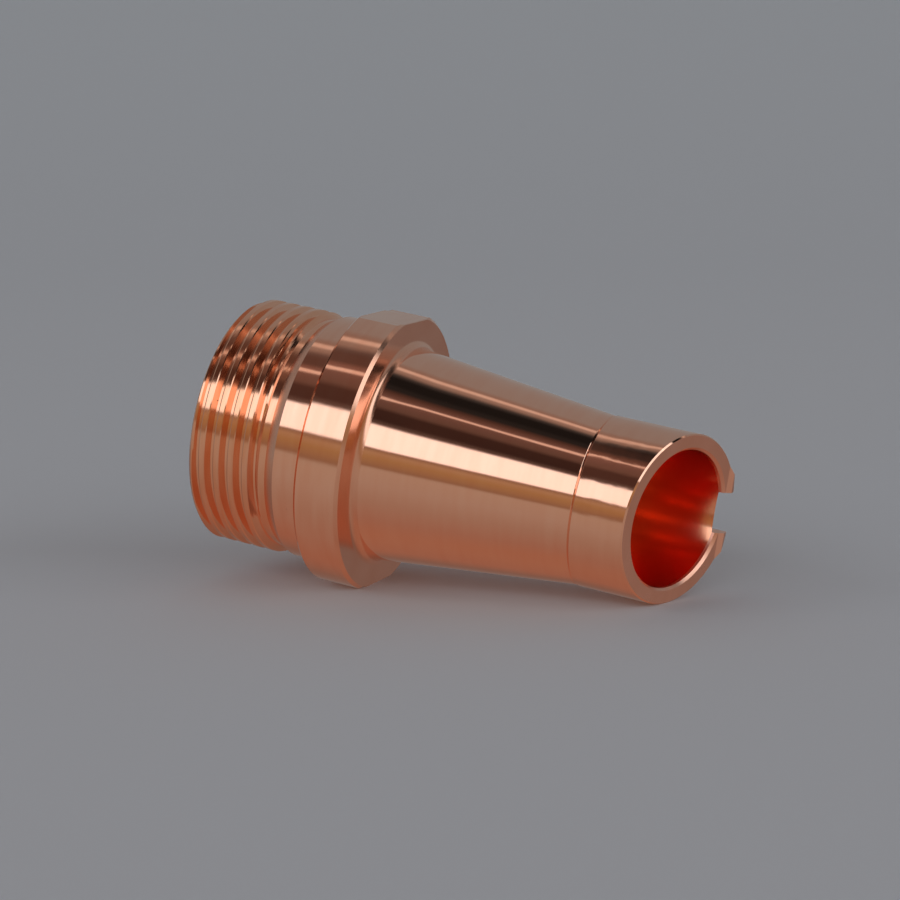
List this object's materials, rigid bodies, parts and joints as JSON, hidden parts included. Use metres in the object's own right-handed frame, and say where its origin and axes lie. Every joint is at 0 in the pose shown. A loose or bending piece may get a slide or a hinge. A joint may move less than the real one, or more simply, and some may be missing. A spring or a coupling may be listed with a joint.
{
  "type": "laser welding nozzle",
  "caption": "Turned copper welding nozzle: threaded shank, collar with spanner flats, long cone and a straight tip with a slanted, notched end, open all the way through.",
  "frame": {"origin": "centre of the threaded end's face, on which the nozzle stands", "axes": "+Z along the nozzle's axis towards the tip, +X towards the filler wire's notch, +Y and -Y square to the collar's spanner flats"},
  "size_m": [0.0178, 0.017, 0.0314],
  "materials": {
    "copper": "turned and polished bare copper"
  },
  "bodies": {
    "root": {"nozzle": "copper"}
  },
  "joints": []
}
